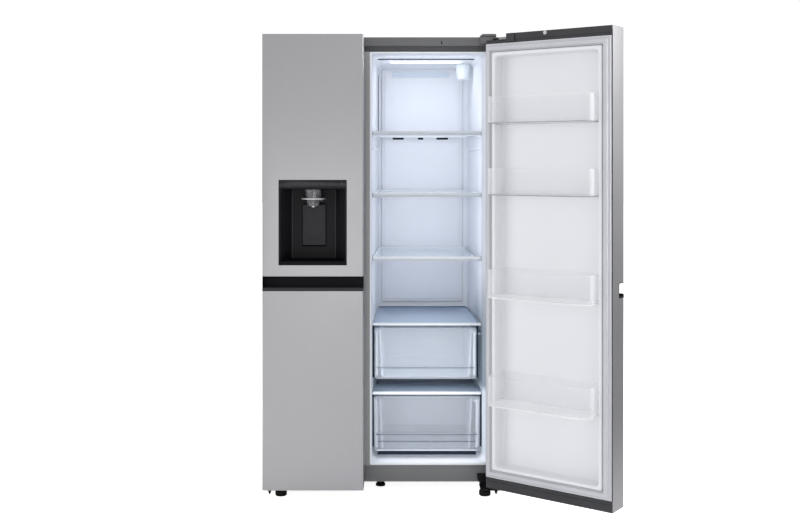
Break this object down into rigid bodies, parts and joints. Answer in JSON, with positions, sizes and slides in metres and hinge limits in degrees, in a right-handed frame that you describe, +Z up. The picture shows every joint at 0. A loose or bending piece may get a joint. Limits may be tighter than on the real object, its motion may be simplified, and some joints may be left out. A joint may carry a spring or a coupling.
{
  "type": "side by side refrigerator",
  "caption": "Side by side refrigerator: narrow freezer door with a water and ice dispenser, wide fresh food door standing open on shelves, crisper drawers and door bins.",
  "frame": {"origin": "middle of the refrigerator's box on the floor, with the fresh food door open as it stands at rest", "axes": "+Z up, -Y out of the front of the doors, +X to the right as seen from the front"},
  "size_m": [1.327, 1.1586, 1.778],
  "materials": {
    "door_steel": "satin silver stainless steel with a fine vertical grain",
    "case_paint": "mid grey semi-matte paint on sheet steel",
    "liner_plastic": "cool white vacuum-formed plastic, soft sheen",
    "foam": "rigid polyurethane foam, pale buff",
    "galvanised_steel": "plain zinc-coated sheet",
    "black_steel": "black e-coated pressed steel",
    "compressor_paint": "black painted steel shell",
    "grey_plastic": "fine-textured grey plastic",
    "white_trim": "bright white moulded plastic",
    "shelf_glass": "clear toughened glass with a cool tint",
    "lamp_lens": "frosted white lens",
    "clear_plastic": "clear polystyrene",
    "black_plastic": "black plastic, satin",
    "gloss_black_plastic": "black plastic, glossy",
    "dark_grey_plastic": "dark grey plastic, fine texture",
    "gasket_vinyl": "light grey soft vinyl",
    "foot_rubber": "black hard rubber-like plastic"
  },
  "bodies": {
    "cabinet": {"cabinet_shell": "case_paint", "front_frame": "case_paint", "fridge_liner": "liner_plastic", "freezer_liner": "liner_plastic", "insulation_foam": "foam", "rear_panel": "galvanised_steel", "machine_cover": "galvanised_steel", "base_pan": "black_steel", "compressor": "compressor_paint", "top_hinge_right": "black_steel", "top_hinge_left": "black_steel", "hinge_cover_right": "grey_plastic", "hinge_cover_left": "grey_plastic", "bottom_hinge_right": "black_steel", "bottom_hinge_left": "black_steel", "shelf_1_frame": "white_trim", "shelf_1_glass": "shelf_glass", "shelf_2_frame": "white_trim", "shelf_2_glass": "shelf_glass", "shelf_3_frame": "white_trim", "shelf_3_glass": "shelf_glass", "upper_crisper_cover": "shelf_glass", "lower_crisper_cover": "shelf_glass", "duct_cover": "liner_plastic", "lamp_lens": "lamp_lens", "ice_maker": "clear_plastic", "freezer_shelf": "shelf_glass", "freezer_basket": "clear_plastic"},
    "fridge_door": {"fridge_door_skin_upper": "door_steel", "fridge_door_skin_lower": "door_steel", "fridge_door_grip": "black_plastic", "fridge_door_top_cap": "dark_grey_plastic", "fridge_door_bottom_cap": "dark_grey_plastic", "fridge_door_liner": "liner_plastic", "fridge_door_gasket": "gasket_vinyl", "door_bin_1": "clear_plastic", "door_bin_2": "clear_plastic", "door_bin_3": "clear_plastic", "door_bin_4": "clear_plastic"},
    "freezer_door": {"freezer_door_skin_upper": "door_steel", "freezer_door_skin_lower": "door_steel", "freezer_door_grip": "black_plastic", "freezer_door_top_cap": "dark_grey_plastic", "freezer_door_bottom_cap": "dark_grey_plastic", "freezer_door_liner": "liner_plastic", "freezer_door_gasket": "gasket_vinyl", "dispenser_housing": "black_plastic", "dispenser_panel": "gloss_black_plastic", "dispenser_chute": "gloss_black_plastic", "drip_tray": "gloss_black_plastic", "freezer_door_bin_1": "clear_plastic", "freezer_door_bin_2": "clear_plastic"},
    "dispenser_pad": {"dispenser_pad": "black_plastic"},
    "upper_crisper": {"upper_crisper": "clear_plastic"},
    "lower_crisper": {"lower_crisper": "clear_plastic"},
    "leveling_foot_left": {"leveling_foot_left": "foot_rubber"},
    "leveling_foot_right": {"leveling_foot_right": "foot_rubber"},
    "rear_roller_left": {"rear_roller_left": "foot_rubber"},
    "rear_roller_right": {"rear_roller_right": "foot_rubber"},
    "water_filter": {"water_filter": "white_trim"}
  },
  "joints": [
    {"name": "fridge_door_hinge", "type": "hinge", "parent": "cabinet", "child": "fridge_door", "pos_m": [0.2255, -0.23018, 0], "axis": [0, 0, 1], "range_deg": [-144, 0]},
    {"name": "freezer_door_hinge", "type": "hinge", "parent": "cabinet", "child": "freezer_door", "pos_m": [-0.6415, -0.23018, 0], "axis": [0, 0, -1], "range_deg": [0, 140]},
    {"name": "dispenser_pad_press", "type": "hinge", "parent": "freezer_door", "child": "dispenser_pad", "pos_m": [-0.4725, -0.21118, 1.115], "axis": [1, 0, 0], "range_deg": [0, 5], "stiffness_Nm_per_rad": 0.6},
    {"name": "upper_crisper_slide", "type": "slide", "parent": "cabinet", "child": "upper_crisper", "axis": [0, -1, 0], "range_m": [0, 0.34]},
    {"name": "lower_crisper_slide", "type": "slide", "parent": "cabinet", "child": "lower_crisper", "axis": [0, -1, 0], "range_m": [0, 0.28]},
    {"name": "leveling_foot_left_turn", "type": "hinge", "parent": "cabinet", "child": "leveling_foot_left", "pos_m": [-0.5995, -0.21418, 0.014], "axis": [0, 0, 1], "continuous": true},
    {"name": "leveling_foot_right_turn", "type": "hinge", "parent": "cabinet", "child": "leveling_foot_right", "pos_m": [0.1835, -0.21418, 0.014], "axis": [0, 0, 1], "continuous": true},
    {"name": "rear_roller_left_turn", "type": "hinge", "parent": "cabinet", "child": "rear_roller_left", "pos_m": [-0.5935, 0.51382, 0.018], "axis": [1, 0, 0], "continuous": true},
    {"name": "rear_roller_right_turn", "type": "hinge", "parent": "cabinet", "child": "rear_roller_right", "pos_m": [0.1775, 0.51382, 0.018], "axis": [1, 0, 0], "continuous": true},
    {"name": "water_filter_twist", "type": "hinge", "parent": "cabinet", "child": "water_filter", "pos_m": [0.1285, 0.26382, 1.66], "axis": [0, 0, 1], "range_deg": [0, 90]}
  ]
}
